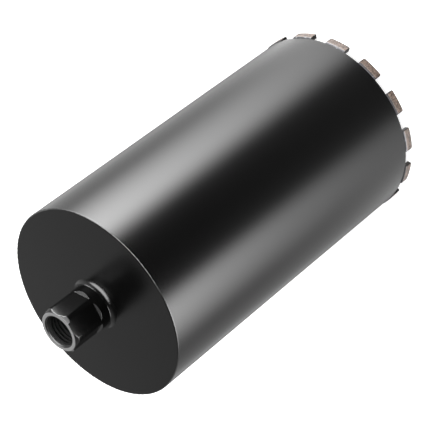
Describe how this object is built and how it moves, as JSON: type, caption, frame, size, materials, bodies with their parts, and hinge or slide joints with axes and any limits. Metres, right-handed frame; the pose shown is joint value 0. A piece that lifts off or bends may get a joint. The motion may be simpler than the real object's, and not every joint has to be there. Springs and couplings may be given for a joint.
{
  "type": "diamond core bit",
  "caption": "Closed steel barrel with a crown of sintered diamond segments and a threaded hexagon hub, for drilling large round holes in concrete and masonry.",
  "frame": {"origin": "centre of the plane that the cutting faces lie in, on the barrel's axis", "axes": "+Z along the barrel's axis towards the hub, +X square to one spanner flat of the hub"},
  "size_m": [0.202, 0.2018, 0.4146],
  "materials": {
    "barrel_paint": "satin black",
    "plate_paint": "satin black",
    "hub_steel": "gloss black, with a bare turned nose and end face",
    "weld_paint": "gloss black over weld",
    "diamond_matrix": "sintered matrix with diamond grit, ground steel foot"
  },
  "bodies": {
    "root": {"barrel_tube": "barrel_paint", "back_plate": "plate_paint", "plate_weld_ring": "plate_paint", "hub_connector": "hub_steel", "hub_weld_bead": "weld_paint", "segment_01": "diamond_matrix", "segment_02": "diamond_matrix", "segment_03": "diamond_matrix", "segment_04": "diamond_matrix", "segment_05": "diamond_matrix", "segment_06": "diamond_matrix", "segment_07": "diamond_matrix", "segment_08": "diamond_matrix", "segment_09": "diamond_matrix", "segment_10": "diamond_matrix", "segment_11": "diamond_matrix", "segment_12": "diamond_matrix", "segment_13": "diamond_matrix", "segment_14": "diamond_matrix", "segment_15": "diamond_matrix"}
  },
  "joints": []
}
